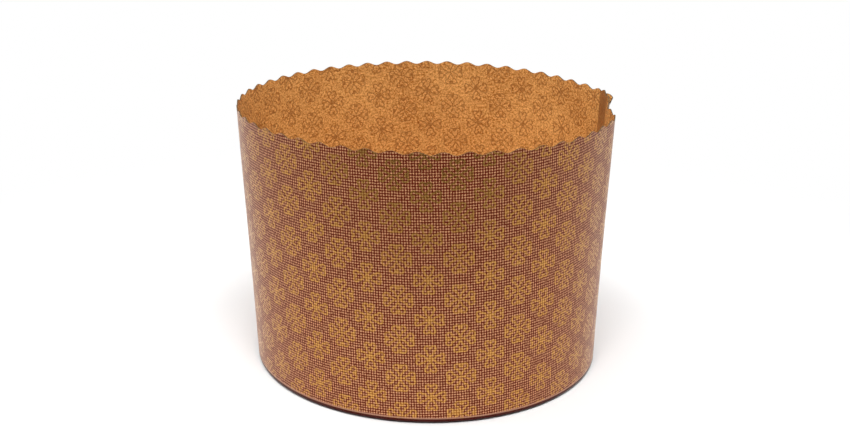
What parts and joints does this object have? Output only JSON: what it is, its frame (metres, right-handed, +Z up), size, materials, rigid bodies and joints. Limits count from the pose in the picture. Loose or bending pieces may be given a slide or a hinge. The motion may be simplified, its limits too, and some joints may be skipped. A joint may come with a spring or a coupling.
{
  "type": "panettone paper mold",
  "caption": "Round open-top paper baking mold with a slightly flared wall, a scalloped rim, a glued lap and a flat round base.",
  "frame": {"origin": "centre of the circle that the mold stands on, on the table", "axes": "+Z up along the mold's axis, towards the open rim; -Y towards the viewer of the picture; the glued lap is at the right, from +X towards the back"},
  "size_m": [0.1419, 0.142, 0.1023],
  "materials": {
    "printed_wall_paper": "satin print outside, matt unprinted paper inside",
    "base_paper": "matt"
  },
  "bodies": {
    "root": {"side_wall": "printed_wall_paper", "base_disc": "base_paper"}
  },
  "joints": []
}
